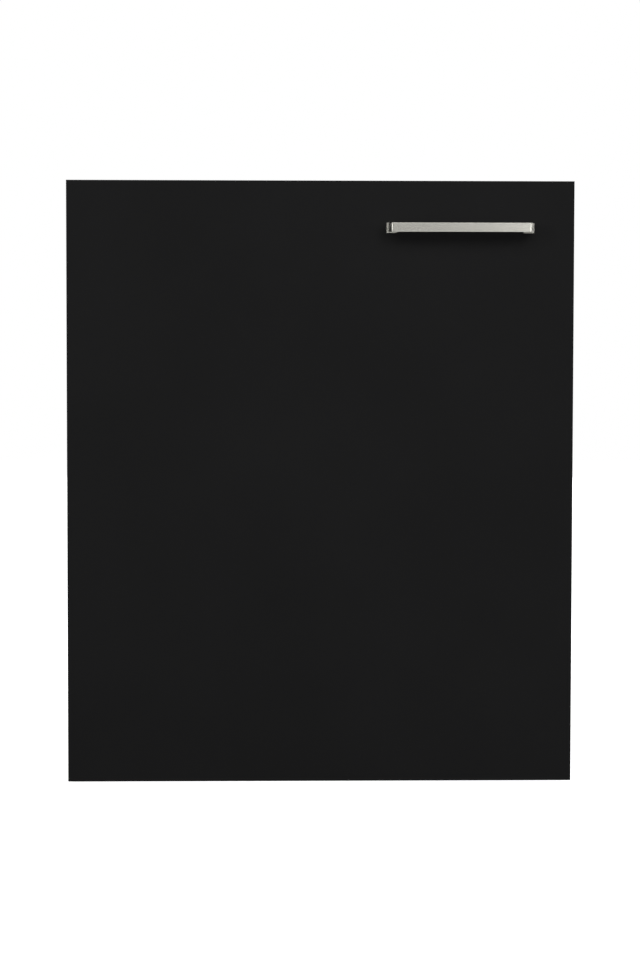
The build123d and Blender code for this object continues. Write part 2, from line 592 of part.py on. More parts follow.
def drive_chain():
    """The chain as two bands of side plates, joined by rollers along the straight runs."""
    plate_h, plate_t, gap = 3.3, 1.1, 2.0
    body = None
    for z0 in (SPROCKET_Z - gap - plate_t, SPROCKET_Z + gap):
        band = extrude(chain_face(plate_h) - chain_face(-plate_h), amount=plate_t)
        band = Pos(0, 0, z0) * band
        body = band if body is None else body + band
    for (x0, y0), (x1, y1), _ in chain_spans():
        count = int(hypot(x1 - x0, y1 - y0) / CHAIN_PITCH)
        for k in range(3, count - 2):
            x, y = x0 + (x1 - x0) * k / count, y0 + (y1 - y0) * k / count
            body += rod(x, y, SPROCKET_Z - gap - 0.2, SPROCKET_Z + gap + 0.2, 2.4)
    return body


# ---------------------------------------------------------------- ram
PLATE_X, PLATE_Y = 212.0, 168.0


def ram_plate():
    """The pressing plate: a shallow pan with a turned-up skirt and cross ribs."""
    z0 = RAM_Z0
    body = slab(PLATE_X, PLATE_Y, z0, z0 + 28, 20.0)
    body = fillet(body.edges().group_by(Axis.Z)[0], 4.0)
    body -= slab(PLATE_X - 3, PLATE_Y - 3, z0 + 5, z0 + 29, 17.0)
    for x in (-130, 130):
        body += block(x - 2, x + 2, BIN_Y - PLATE_Y + 2, BIN_Y + PLATE_Y - 2, z0 + 4, z0 + 24)
    for y in (-95, 95):
        body += block(-PLATE_X + 2, PLATE_X - 2, BIN_Y + y - 2, BIN_Y + y + 2, z0 + 4, z0 + 24)
    return body


def ram_column():
    """The welded box column between the plate and the crosshead, with a foot flange and windows."""
    z0, z1 = RAM_Z0 + 5, CROSS_Z0
    body = slab(60, 48, z0, z1, 8.0) - slab(56, 44, z0 - 1, z1 + 1, 5.0)
    body += slab(80, 68, z0, z0 + 5, 10.0) - slab(56, 44, z0 - 1, z0 + 6, 5.0)
    for z in (z0 + 50, z0 + 120):
        window = Pos(0, BIN_Y - 60, z) * Rot(-90, 0, 0) * extrude(RectangleRounded(60, 44, 8), amount=120)
        body -= window
    for x in (-70, 70):
        for y in (BIN_Y - 55, BIN_Y + 55):
            body -= rod(x, y, z0 - 1, z0 + 6, 4.5)
    return body


def crosshead():
    """The beam that the screws pull down: an inverted channel with a nut housing at each end."""
    y0, y1 = BIN_Y - 34, BIN_Y + 34
    body = block(-250, 250, y0, y1, CROSS_Z0, CROSS_Z1)
    body = fillet(body.edges().filter_by(Axis.X).group_by(Axis.Z)[-1], 5.0)
    body -= block(-251, 251, y0 + 4, y1 - 4, CROSS_Z0 + 4, CROSS_Z1 - 4)
    body -= slab(50, 24, CROSS_Z0 - 1, CROSS_Z0 + 5, 6.0)
    for side in (-1, 1):
        x = side * SCREW_X
        body += slab_at(x, BIN_Y, 35, 60, CROSS_Z0, CROSS_Z1, 8)
        body -= rod(x, BIN_Y, CROSS_Z0 - 1, CROSS_Z1 + 1, NUT_R - 2)
    return body


def ram_nuts():
    """Flanged bronze nuts pressed up into the crosshead from below."""
    nut = rod(SCREW_X, BIN_Y, CROSS_Z0, CROSS_Z1 + 1.5, NUT_R - 2.02)
    nut += rod(SCREW_X, BIN_Y, CROSS_Z0 - 6, CROSS_Z0, 17.0)
    nut -= rod(SCREW_X, BIN_Y, CROSS_Z0 - 7, CROSS_Z1 + 3, SCREW_R + RUN)
    return mirrored(nut)


# ---------------------------------------------------------------- air, switches and controls
def fan_housing():
    """The square fan frame on the bulkhead, with four struts that carry the hub."""
    y0, y1 = BULKHEAD_Y + SHEET, BULKHEAD_Y + SHEET + 25
    half = FAN_SIZE / 2
    body = block(FAN_X - half, FAN_X + half, y0, y1, FAN_Z - half, FAN_Z + half)
    body = fillet(body.edges().filter_by(Axis.Y), 5.0)
    body -= rod_y(FAN_X, FAN_Z, y0 - 1, y1 + 1, FAN_BORE)
    body += rod_y(FAN_X, FAN_Z, y1 - 3, y1, 18.0)
    for a in (0, 90, 180, 270):
        strut = block(16, FAN_BORE + 1, y1 - 3, y1, -2, 2)
        body += Pos(FAN_X, 0, FAN_Z) * Rot(0, a + 45, 0) * strut
    for dx in (-38, 38):
        for dz in (-38, 38):
            body -= rod_y(FAN_X + dx, FAN_Z + dz, y0 - 1, y1 + 1, 2.2)
    return body


def fan_rotor():
    """The fan's hub with seven pitched blades."""
    y0 = BULKHEAD_Y + SHEET + 3
    body = rod_y(FAN_X, FAN_Z, y0, y0 + 18, 17.0)
    for k in range(7):
        blade = Pos(28, 0, 0) * Rot(35, 0, 0) * Box(26, 1.6, 19)
        body += Pos(FAN_X, y0 + 9, FAN_Z) * Rot(0, 360.0 * k / 7, 0) * blade
    return body


def carbon_filter():
    """The charcoal cassette on the bin side of the bulkhead: a frame with a pleated pad in it."""
    y0, y1 = BULKHEAD_Y - 18, BULKHEAD_Y
    body = block(FAN_X - 58, FAN_X + 58, y0, y1, 512, 608)
    body = fillet(body.edges().filter_by(Axis.Y), 4.0)
    for k in range(13):
        x = FAN_X - 48 + 8 * k
        body -= block(x - 2.5, x + 2.5, y0 - 1, y0 + 6, 520, 600)
    return body


def control_housing():
    """The open-fronted box behind the fascia, hung under the top sheet."""
    y0, y1 = CONTROL_Y + 2, CONTROL_Y + 52
    body = block(-CONTROL_X, CONTROL_X, y0, y1, CONTROL_Z0, CONTROL_Z1)
    body -= block(-CONTROL_X + 2, CONTROL_X - 2, y0 - 1, y1 - 2, CONTROL_Z0 + 2, CONTROL_Z1 - 2)
    for x in (-170.0, 170.0):
        body += block(x - 15, x + 15, y0 + 8, y1, CONTROL_Z1, CABINET_Z1 - FRAME_SHEET)
    return body


def control_fascia():
    """The control strip, with holes for the buttons, the key switch and the lamp lens."""
    y0, y1 = CONTROL_Y, CONTROL_Y + 2
    body = block(-CONTROL_X, CONTROL_X, y0, y1, CONTROL_Z0, CONTROL_Z1)
    body = fillet(body.edges().filter_by(Axis.Y), 6.0)
    for x in (START_X, STOP_X):
        body -= rod_y(x, CONTROL_Z, y0 - 1, y1 + 1, 11.3)
    body -= rod_y(KNOB_X, CONTROL_Z, y0 - 1, y1 + 1, 6.3)
    body -= rod_y(-110, CONTROL_Z, y0 - 1, y1 + 1, 3.5)
    return body


def push_button(x):
    """A round button with a dished front and a stem behind the fascia."""
    body = rod_y(x, CONTROL_Z, CONTROL_Y - 3.5, CONTROL_Y + 12, 11.0)
    body += rod_y(x, CONTROL_Z, CONTROL_Y + 2.3, CONTROL_Y + 4.3, 13.0)
    body -= Pos(x, CONTROL_Y - 42.5, CONTROL_Z) * Sphere(40.0)
    body = body + rod_y(x, CONTROL_Z, CONTROL_Y + 11, CONTROL_Y + 22, 3.0)
    return body


def key_knob():
    """The lock knob: a round base and a raised grip, with its shaft behind the fascia."""
    body = rod_y(KNOB_X, CONTROL_Z, CONTROL_Y - 3, CONTROL_Y - 0.4, 15.0)
    body += block(KNOB_X - 3.5, KNOB_X + 3.5, CONTROL_Y - 6.0, CONTROL_Y - 2, CONTROL_Z - 13, CONTROL_Z + 13)
    body += rod_y(KNOB_X, CONTROL_Z, CONTROL_Y - 1, CONTROL_Y + 20, 6.0)
    return body


def indicator_lens():
    body = rod_y(-110, CONTROL_Z, CONTROL_Y - 1.2, CONTROL_Y + 6, 3.4)
    return fillet(body.edges().group_by(Axis.Y)[0], 1.0)


def control_board():
    """The relay board at the back of the control housing."""
    y, back = CONTROL_Y + 43, CONTROL_Y + 50
    body = block(-150, 150, y, y + 1.6, CONTROL_Z0 + 5, CONTROL_Z1 - 5)
    for x in (-140, 140):
        for z in (CONTROL_Z - 16, CONTROL_Z + 16):
            body += rod_y(x, z, y, back, 3.0)
    for x, w, d, h in ((-120, 28, 14, 20), (-82, 28, 14, 20), (60, 20, 8, 12), (110, 34, 11, 26)):
        body += block(x - w / 2, x + w / 2, y - d, y, CONTROL_Z - h / 2, CONTROL_Z + h / 2)
    return body


def limit_switch():
    """The top-of-stroke switch on the crossbeam."""
    return block(SWITCH_X - 14, SWITCH_X + 14, BIN_Y + 30, BIN_Y + 40, SWITCH_Z - 4, SWITCH_Z + 10)


def limit_lever():
    """The switch's lever, hinged at its left end, with a small roller over the crosshead."""
    z = SWITCH_Z - 6.2
    body = block(SWITCH_X - 14, SWITCH_X + 16, BIN_Y + 31, BIN_Y + 33.8, z, z + 1.0)
    body += Pos(SWITCH_X - 14, BIN_Y + 32.4, z + 0.5) * Rot(90, 0, 0) * Cylinder(1.4, 2.8)
    body += Pos(SWITCH_X + 15, BIN_Y + 32.4, z - 1.6) * Rot(90, 0, 0) * Cylinder(2.4, 2.8)
    return body


def drawer_switch():
    """The interlock switch on the bulkhead, which the drawer's rear wall closes."""
    x, z = INTERLOCK_X, INTERLOCK_Z
    body = block(x - 14, x + 14, BULKHEAD_Y - 11, BULKHEAD_Y, z - 8, z + 8)
    return body - rod_y(x + 6, z, BULKHEAD_Y - 12, BULKHEAD_Y - 4, 2.3)


def switch_plunger():
    x, z = INTERLOCK_X + 6, INTERLOCK_Z
    return rod_y(x, z, CARRIER_Y1 + 0.6, BULKHEAD_Y - 7.5, 2.2)


def cable_gland():
    """The bush in the rear sheet that the supply lead enters through."""
    y1 = CAB_Y1
    body = rod_y(GLAND_X, GLAND_Z, y1 - 12, y1, 7.9)
    body += rod_y(GLAND_X, GLAND_Z, y1, TOTAL_D / 2, 11.0)
    body += rod_y(GLAND_X, GLAND_Z, y1 - 6, y1 - SHEET, 10.5)
    return body - rod_y(GLAND_X, GLAND_Z, y1 - 13, TOTAL_D / 2 + 1, GLAND_R)


def cabinet_screws():
    """The rear sheet's screws: three down each side, through the sheet and the side's return."""
    parts = []
    for x in (-REAR_SCREW_X, REAR_SCREW_X):
        for z in REAR_SCREWS_Z:
            parts += screw(x, z, CAB_Y1, 6.0, 1.6, 3.6, 2.0).solids()
    return Compound(parts)


# ---------------------------------------------------------------- feet
def levelling_foot(x, y):
    """A hexagon-shanked stud on a round plastic pad."""
    body = rod(x, y, 0, 6, 19.0)
    body = fillet(body.edges().group_by(Axis.Z)[-1], 2.0)
    body += extrude(Pos(x, y, 6) * RegularPolygon(8.0, 6), amount=7)
    body += rod(x, y, 5, CABINET_Z0 + 26, 5.0)
    return body


# ---------------------------------------------------------------- the list of sub-parts
def flipped(shape):
    return mirror(shape, Plane.YZ)


NODES = {
    "front_panel": front_panel,
    "pull_handle": pull_handle,
    "front_screws": front_screws,
    "front_frame": front_frame,
    "front_gasket": front_gasket,
    "bin_carrier": bin_carrier,
    "refuse_bin": bin_body,
    "base_pan": base_pan,
    "deck_plate": deck_plate,
    "top_panel": top_panel,
    "rear_panel": rear_panel,
    "inner_rear_wall": inner_rear_wall,
    "upper_crossbeam": upper_crossbeam,
    "upper_screw_bushes": upper_screw_bushes,
    "lower_screw_bearings": lower_screw_bearings,
    "jackshaft": jackshaft,
    "reduction_gear": reduction_gear,
    "motor_rotor": motor_rotor,
    "motor_housing": motor_housing,
    "run_capacitor": run_capacitor,
    "jackshaft_bearings": jackshaft_bearings,
    "drive_chain": drive_chain,
    "ram_plate": ram_plate,
    "ram_column": ram_column,
    "crosshead": crosshead,
    "ram_nuts": ram_nuts,
    "fan_housing": fan_housing,
    "fan_rotor": fan_rotor,
    "carbon_filter": carbon_filter,
    "control_housing": control_housing,
    "control_fascia": control_fascia,
    "start_button": lambda: push_button(START_X),
    "stop_button": lambda: push_button(STOP_X),
    "key_knob": key_knob,
    "indicator_lens": indicator_lens,
    "control_board": control_board,
    "limit_switch": limit_switch,
    "limit_lever": limit_lever,
    "drawer_switch": drawer_switch,
    "switch_plunger": switch_plunger,
    "cable_gland": cable_gland,
    "cabinet_screws": cabinet_screws,
}
PAIRED = {
    "side_panel": side_panel,
    "guide_post": guide_post,
    "outer_rail": outer_rail,
    "middle_rail": middle_rail,
    "inner_rail": inner_rail,
    "power_screw": power_screw,
    "screw_sprocket": screw_sprocket,
}
for name, make in PAIRED.items():
    NODES["right_" + name] = make
    NODES["left_" + name] = lambda make=make: flipped(make())
for end, foot_y in (("front", FOOT_Y0), ("rear", FOOT_Y1)):
    for side, foot_x in (("left", -FOOT_X), ("right", FOOT_X)):
        NODES[f"{end}_{side}_foot"] = lambda x=foot_x, y=foot_y: levelling_foot(x, y)


os.makedirs("parts", exist_ok=True)
for name, make in NODES.items():
    export_step(make(), f"parts/{name}.step")
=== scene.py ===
"""The looks of the integrated trash compactor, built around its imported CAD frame. Metres, +Z up, front at -Y."""

import json
import math

import bmesh
import bpy
from mathutils import Matrix, Vector


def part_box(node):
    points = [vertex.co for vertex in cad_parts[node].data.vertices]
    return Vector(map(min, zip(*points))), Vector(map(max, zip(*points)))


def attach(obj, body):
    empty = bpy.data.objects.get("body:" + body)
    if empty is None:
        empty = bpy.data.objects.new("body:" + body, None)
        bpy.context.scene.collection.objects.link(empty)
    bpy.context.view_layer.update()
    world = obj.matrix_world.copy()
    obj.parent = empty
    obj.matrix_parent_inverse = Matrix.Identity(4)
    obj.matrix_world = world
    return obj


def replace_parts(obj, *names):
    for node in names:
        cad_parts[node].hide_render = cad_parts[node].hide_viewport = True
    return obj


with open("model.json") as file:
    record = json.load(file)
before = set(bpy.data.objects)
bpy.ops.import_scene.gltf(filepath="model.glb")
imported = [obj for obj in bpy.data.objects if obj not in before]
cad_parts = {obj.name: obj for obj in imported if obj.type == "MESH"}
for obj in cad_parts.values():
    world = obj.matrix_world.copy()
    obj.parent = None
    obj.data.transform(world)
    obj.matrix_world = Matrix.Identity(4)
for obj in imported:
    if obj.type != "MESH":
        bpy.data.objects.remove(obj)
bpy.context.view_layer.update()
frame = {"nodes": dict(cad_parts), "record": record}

MM = 0.001
SCREW_X, RAM_Y, JACK_Y = 0.264, -0.032, 0.215
MOTOR_X, MOTOR_Y = 0.0688694, 0.236
CHAIN_Z, CHAIN_PITCH = 0.062, 0.008
SCREW_TEETH, DRIVE_TEETH = 15, 10
CONTROL_Z, FASCIA_Y = 0.678, -0.222

# ---------------------------------------------------------------- materials
PAINTS = {}


class Paint:
    """One node material: a Principled shader, and patterns in the object's own space to feed it."""

    def __init__(self, name, base, rough, metal=0.0, specular=0.5, coat=0.0, coat_rough=0.1):
        self.material = bpy.data.materials.new(name)
        self.material.use_nodes = True
        self.tree = self.material.node_tree
        self.shader = self.tree.nodes["Principled BSDF"]
        self.set("Base Color", (*base, 1.0))
        self.set("Roughness", rough)
        self.set("Metallic", metal)
        self.set("Specular IOR Level", specular)
        self.set("Coat Weight", coat)
        self.set("Coat Roughness", coat_rough)
        self.base = base
        self.place = self.tree.nodes.new("ShaderNodeTexCoord").outputs["Object"]
        self.normal = None
        PAINTS[name] = self.material

    def set(self, socket, value):
        self.shader.inputs[socket].default_value = value

    def link(self, output, socket):
        self.tree.links.new(output, self.shader.inputs[socket])

    def add(self, kind, inputs, **settings):
        """A new node. Inputs go by name or number, and each is another node's output or a plain value."""
        node = self.tree.nodes.new("ShaderNode" + kind)
        for key, value in settings.items():
            setattr(node, key, value)
        for key, value in inputs.items():
            if isinstance(value, bpy.types.NodeSocket):
                self.tree.links.new(value, node.inputs[key])
            else:
                node.inputs[key].default_value = value
        return node

    def stretched(self, stretch):
        return self.add("Mapping", {"Vector": self.place, "Scale": stretch}).outputs["Vector"]

    def noise(self, scale, detail=3.0, stretch=(1, 1, 1), rough=0.55):
        inputs = {"Vector": self.stretched(stretch), "Scale": scale, "Detail": detail, "Roughness": rough}
        return self.add("TexNoise", inputs).outputs["Fac"]

    def cells(self, scale, output="Color", feature="F1", stretch=(1, 1, 1)):
        inputs = {"Vector": self.stretched(stretch), "Scale": scale}
        return self.add("TexVoronoi", inputs, feature=feature).outputs[output]

    def axis(self, letter, place=None):
        return self.add("SeparateXYZ", {"Vector": place or self.place}).outputs[letter]

    def math(self, operation, a, b=0.0):
        return self.add("Math", {0: a, 1: b}, operation=operation).outputs[0]

    def spread(self, value, low, high, start=0.0, end=1.0):
        """value, mapped from start..end to low..high and clamped."""
        return self.add("MapRange", {0: value, 1: start, 2: end, 3: low, 4: high}).outputs[0]

    def above(self, value, edge, blur=0.2 * MM):
        """1 where value is above the edge and 0 where it is below."""
        return self.spread(value, 0.0, 1.0, edge - blur, edge + blur)

    def below(self, value, edge, blur=0.2 * MM):
        """1 where value is below the edge and 0 where it is above."""
        return self.spread(value, 1.0, 0.0, edge - blur, edge + blur)

    def between(self, value, low, high):
        return self.math("MULTIPLY", self.above(value, low), self.below(value, high))

    def ramp(self, value, low, high, start=0.3, end=0.7):
        """Colour low up to start, running to colour high from end on."""
        node = self.add("ValToRGB", {0: value})
        for element, at, colour in zip(node.color_ramp.elements, (start, end), (low, high)):
            element.position = at
            element.color = (*colour, 1.0)
        return node.outputs[0]

    def mix(self, amount, a, b):
        """Colour a where amount is 0, colour b where it is 1."""
        a, b = (colour if isinstance(colour, bpy.types.NodeSocket) else (*colour, 1.0) for colour in (a, b))
        return self.add("Mix", {0: amount, 6: a, 7: b}, data_type="RGBA").outputs[2]

    def tint(self, value, low, high):
        """The base colour, made darker or lighter by value."""
        dark, light = (tuple(c * k for c in self.base) for k in (low, high))
        self.link(self.ramp(value, dark, light, 0.25, 0.75), "Base Color")

    def vary_rough(self, value, low, high):
        self.link(self.spread(value, low, high, 0.25, 0.75), "Roughness")

    def bump(self, height, depth, strength):
        """Relief of a depth in metres, on top of any relief the material already has."""
        inputs = {"Height": height, "Distance": depth, "Strength": strength}
        if self.normal:
            inputs["Normal"] = self.normal
        self.normal = self.add("Bump", inputs).outputs["Normal"]
        self.link(self.normal, "Normal")


def matt_board():
    """Dead-matt black laminate: almost no gloss, a pore-fine surface and a barely visible cloudiness."""
    p = Paint("black_laminate", (0.0152, 0.0152, 0.0155), 0.62, specular=0.012)
    p.tint(p.noise(5.0, 4.0), 0.93, 1.08)
    p.vary_rough(p.noise(14.0, 5.0), 0.58, 0.68)
    p.bump(p.noise(2600.0, 2.0), 0.00002, 0.6)


def brushed(name, base, rough, along, fine=1500.0):
    """Metal with fine parallel brush lines along one axis, and broader bands of uneven gloss beside them."""
    p = Paint(name, base, rough, metal=1.0)
    stretch = tuple(0.006 if a else 1.0 for a in along)
    hair = p.noise(fine, 3.0, stretch, 0.7)
    p.tint(hair, 0.9, 1.1)
    p.vary_rough(p.noise(fine / 8, 2.0, stretch), rough - 0.05, rough + 0.05)
    p.bump(hair, 0.000012, 0.8)


def nickel():
    """The handle's satin nickel: lines run along the bar, and along the legs on their outer sides."""
    p = Paint("brushed_nickel", (0.41, 0.403, 0.368), 0.26, metal=1.0)
    p.set("Anisotropic", 0.6)
    p.link(p.add("Tangent", {}, direction_type="RADIAL", axis="X").outputs[0], "Tangent")
    fine, drawn_out = 1500.0, 0.0015
    bar = p.noise(fine, 3.0, (drawn_out, 1, 1), 0.75)
    leg = p.noise(fine, 3.0, (1, drawn_out, 1), 0.75)
    facing = p.add("TexCoord", {}).outputs["Normal"]
    on_leg = p.above(p.math("ABSOLUTE", p.axis("X", facing)), 0.7, 0.1)
    hair = p.add("Mix", {0: on_leg, 2: bar, 3: leg}, data_type="FLOAT").outputs[0]
    p.tint(hair, 0.92, 1.07)
    p.vary_rough(p.noise(260.0, 2.0, (0.005, 1, 1)), 0.23, 0.28)
    p.bump(hair, 0.000006, 0.5)


def galvanised():
    """Zinc sheet: soft spangles that differ a little in tone and gloss, under a fine grain."""
    p = Paint("galvanised_steel", (0.47, 0.485, 0.50), 0.46, metal=0.7)
    spangle = p.axis("X", p.cells(95.0))
    p.tint(spangle, 0.95, 1.05)
    p.vary_rough(spangle, 0.43, 0.49)
    p.bump(p.noise(700.0, 3.0), 0.00002, 0.5)


def powder(name, base, rough=0.55, grain=900.0, depth=0.00006):
    """Powder coat: an even colour with a fine orange-peel grain and slight cloudiness."""
    p = Paint(name, base, rough, specular=0.4)
    p.tint(p.noise(14.0, 3.0), 0.96, 1.04)
    p.vary_rough(p.noise(40.0, 4.0), rough - 0.03, rough + 0.03)
    p.bump(p.noise(grain, 2.0), depth, 0.7)


def enamel(name, base, worn_from, worn_to):
    """Stoved enamel that is scuffed to bare metal from one height to another, with faint streaks from rubbish."""
    p = Paint(name, base, 0.32)
    near_edge = p.spread(p.axis("Z"), 0.0, 1.0, worn_from, worn_to)
    scuff = p.math("MULTIPLY", near_edge, p.noise(60.0, 6.0, (1, 1, 3), 0.7))
    bare = p.above(scuff, 0.46, 0.04)
    streak = p.ramp(p.noise(22.0, 4.0, (1, 1, 0.12)), tuple(c * 0.88 for c in base), base)
    p.link(p.mix(bare, streak, (0.36, 0.35, 0.33)), "Base Color")
    p.link(p.spread(bare, 0.0, 0.85), "Metallic")
    p.vary_rough(p.noise(30.0, 5.0), 0.26, 0.42)
    p.bump(p.noise(420.0, 2.0), 0.00005, 0.4)
    p.bump(bare, -0.00008, 0.6)


def moulded(name, base, rough=0.5, grain=1900.0, depth=0.00004, coat=0.0):
    """Moulded plastic with a spark-eroded grain and slightly uneven gloss."""
    p = Paint(name, base, rough, specular=0.45, coat=coat)
    p.tint(p.noise(25.0, 3.0), 0.92, 1.08)
    p.vary_rough(p.noise(60.0, 3.0), rough - 0.05, rough + 0.05)
    p.bump(p.noise(grain, 2.0), depth, 0.6)


def rubber():
    """Black seal rubber with a dusty, uneven bloom."""
    p = Paint("seal_rubber", (0.014, 0.014, 0.0145), 0.7, specular=0.3)
    p.tint(p.noise(30.0, 4.0), 0.8, 1.3)
    p.vary_rough(p.noise(90.0, 4.0), 0.6, 0.8)
    p.bump(p.noise(800.0, 3.0), 0.00008, 0.6)


def cast_iron():
    """Raw grey casting with a sandy skin."""
    p = Paint("cast_iron", (0.055, 0.056, 0.06), 0.62, metal=0.55)
    p.tint(p.noise(60.0, 5.0), 0.7, 1.35)
    p.vary_rough(p.noise(120.0, 4.0), 0.5, 0.75)
    p.bump(p.noise(420.0, 4.0), 0.00025, 0.8)


def bronze():
    """Turned bronze: tool rings round the vertical axis, and patches of dark oil."""
    p = Paint("bronze", (0.52, 0.33, 0.13), 0.3, metal=1.0)
    rings = p.noise(1400.0, 2.0, (0.02, 0.02, 1), 0.6)
    p.tint(p.noise(140.0, 4.0), 0.72, 1.12)
    p.vary_rough(rings, 0.22, 0.4)
    p.bump(rings, 0.00002, 0.8)


def greased(name, base, rough, oil=0.55):
    """Machined steel under a patchy film of grease, which darkens it to as little as the share oil of its tone."""
    p = Paint(name, base, rough, metal=1.0)
    film = p.noise(75.0, 5.0)
    p.tint(film, oil, 1.1)
    p.vary_rough(film, rough - 0.12, rough + 0.12)
    p.bump(p.noise(900.0, 3.0), 0.00003, 0.5)


def motor_paint():
    """Painted end bells, and between them the bare stacked laminations."""
    p = Paint("motor_paint", (0.05, 0.055, 0.06), 0.5)
    stack_bottom, stack_top, sheets_per_metre = 0.126, 0.184, 1600.0
    z = p.axis("Z")
    stack = p.between(z, stack_bottom, stack_top)
    sheets = p.math("FRACT", p.math("MULTIPLY", z, sheets_per_metre))
    steel = p.ramp(p.noise(90.0, 4.0, (1, 1, 6)), (0.20, 0.19, 0.18), (0.33, 0.32, 0.31))
    coat = p.ramp(p.noise(20.0, 4.0), (0.042, 0.046, 0.05), (0.062, 0.068, 0.074))
    p.link(p.mix(stack, coat, steel), "Base Color")
    p.link(p.spread(stack, 0.0, 0.9), "Metallic")
    p.vary_rough(p.noise(80.0, 4.0), 0.4, 0.56)
    p.bump(p.math("MULTIPLY", stack, sheets), 0.0002, 0.7)
    p.bump(p.noise(800.0, 2.0), 0.00006, 0.5)


def capacitor():
    """A drawn can with a dark plastic band where the clip holds it."""
    p = Paint("capacitor_can", (0.70, 0.70, 0.71), 0.3, metal=1.0)
    clip_bottom, clip_top = 0.1198, 0.1362
    band = p.between(p.axis("Z"), clip_bottom, clip_top)
    draw = p.noise(900.0, 2.0, (1, 1, 0.01))
    can = p.ramp(draw, (0.62, 0.62, 0.63), (0.74, 0.74, 0.75), 0.25, 0.75)
    p.link(p.mix(band, can, (0.03, 0.03, 0.032)), "Base Color")
    p.link(p.spread(band, 1.0, 0.0), "Metallic")
    p.vary_rough(p.noise(120.0, 3.0), 0.24, 0.38)
    p.bump(draw, 0.00001, 0.6)


def charcoal_felt():
    """Charcoal felt inside a pale card frame."""
    p = Paint("filter_charcoal", (0.02, 0.02, 0.021), 0.95, specular=0.15)
    middle_x, middle_z, felt_half_width, felt_half_height = -0.13, 0.56, 0.0518, 0.0403
    off_x = p.math("ABSOLUTE", p.math("SUBTRACT", p.axis("X"), middle_x))
    off_z = p.math("ABSOLUTE", p.math("SUBTRACT", p.axis("Z"), middle_z))
    card = p.math("MAXIMUM", p.above(off_x, felt_half_width), p.above(off_z, felt_half_height))
    fibres = p.noise(1500.0, 4.0)
    felt = p.ramp(fibres, (0.008, 0.008, 0.009), (0.036, 0.036, 0.038))
    board = p.ramp(p.noise(300.0, 4.0, (1, 1, 0.2)), (0.52, 0.49, 0.43), (0.62, 0.59, 0.53))
    p.link(p.mix(card, felt, board), "Base Color")
    p.vary_rough(p.noise(200.0, 3.0), 0.85, 1.0)
    p.bump(fibres, 0.0004, 0.8)


def circuit():
    """A green board with copper tracks under the lacquer; everything that stands in front of it is a component."""
    p = Paint("circuit_board", (0.02, 0.12, 0.06), 0.35)
    board_front = -0.1791
    fronts = p.below(p.axis("Y"), board_front, 0.05 * MM)
    tracks = p.below(p.cells(170.0, "Distance", "DISTANCE_TO_EDGE", (1, 1, 1.6)), 0.05, 0.01)
    lacquer = p.mix(tracks, (0.012, 0.085, 0.04), (0.05, 0.21, 0.09))
    parts = p.ramp(p.cells(26.0), (0.018, 0.018, 0.02), (0.02, 0.05, 0.16), 0.4, 0.6)
    p.link(p.mix(fronts, lacquer, parts), "Base Color")
    p.vary_rough(p.noise(150.0, 3.0), 0.28, 0.45)
    p.bump(tracks, 0.00005, 0.6)


def lamp():
    """An amber lens, cut into small facets."""
    p = Paint("lamp_lens", (0.62, 0.30, 0.03), 0.16, specular=0.55, coat=0.6, coat_rough=0.05)
    facets = p.cells(1400.0, "Distance")
    p.tint(facets, 0.8, 1.2)
    p.bump(facets, 0.0001, 0.5)


def foot():
    """A black plastic pad under a zinc-plated stud, whose thread shows as fine rings."""
    p = Paint("foot_plastic", (0.022, 0.022, 0.024), 0.5)
    pad_top, thread_bottom, thread_pitch, blur = 0.0062, 0.0132, 1.5 * MM, 0.1 * MM
    z = p.axis("Z")
    steel = p.above(z, pad_top, blur)
    plated = p.ramp(p.noise(120.0, 4.0), (0.42, 0.42, 0.41), (0.56, 0.55, 0.52))
    plain = p.ramp(p.noise(60.0, 4.0), (0.018, 0.018, 0.02), (0.03, 0.03, 0.032))
    p.link(p.mix(steel, plain, plated), "Base Color")
    p.link(p.spread(steel, 0.0, 1.0), "Metallic")
    p.vary_rough(p.noise(90.0, 3.0), 0.32, 0.52)
    thread = p.math("MULTIPLY", p.above(z, thread_bottom, blur), p.math("PINGPONG", z, thread_pitch / 2))
    p.bump(thread, 0.8, 0.9)
    p.bump(p.noise(1500.0, 2.0), 0.00004, 0.5)


for make_paint in (matt_board, nickel, galvanised, rubber, cast_iron, bronze, motor_paint, capacitor, charcoal_felt,
                   circuit, lamp, foot):
    make_paint()
brushed("zinc_steel", (0.55, 0.55, 0.53), 0.32, (0, 1, 0), fine=900.0)
brushed("rail_steel", (0.50, 0.50, 0.49), 0.34, (0, 1, 0))
brushed("gear_steel", (0.36, 0.36, 0.355), 0.36, (0, 0, 1), fine=1100.0)
brushed("knob_metal", (0.60, 0.60, 0.59), 0.22, (0, 1, 0), fine=1200.0)
greased("screw_steel", (0.42, 0.42, 0.41), 0.3)
greased("sprocket_steel", (0.27, 0.27, 0.275), 0.36)
greased("chain_steel", (0.19, 0.185, 0.18), 0.36, oil=0.45)
powder("painted_grey_steel", (0.30, 0.31, 0.32))
powder("charcoal_sheet", (0.05, 0.051, 0.053), 0.58, grain=700.0, depth=0.00009)
enamel("enamelled_bin", (0.27, 0.285, 0.30), 0.33, 0.425)
enamel("enamelled_ram", (0.40, 0.41, 0.42), 0.475, 0.43)
moulded("black_plastic", (0.018, 0.018, 0.02))
moulded("fascia_plastic", (0.035, 0.035, 0.038), 0.46, grain=2600.0)
moulded("switch_plastic", (0.026, 0.026, 0.028), 0.42)
moulded("plunger_plastic", (0.52, 0.09, 0.03), 0.3, depth=0.00002)
moulded("start_green", (0.02, 0.22, 0.07), 0.26, depth=0.00001, coat=0.3)
moulded("stop_red", (0.42, 0.018, 0.012), 0.26, depth=0.00001, coat=0.3)
moulded("symbol_white", (0.62, 0.62, 0.60), 0.5, depth=0.00001)

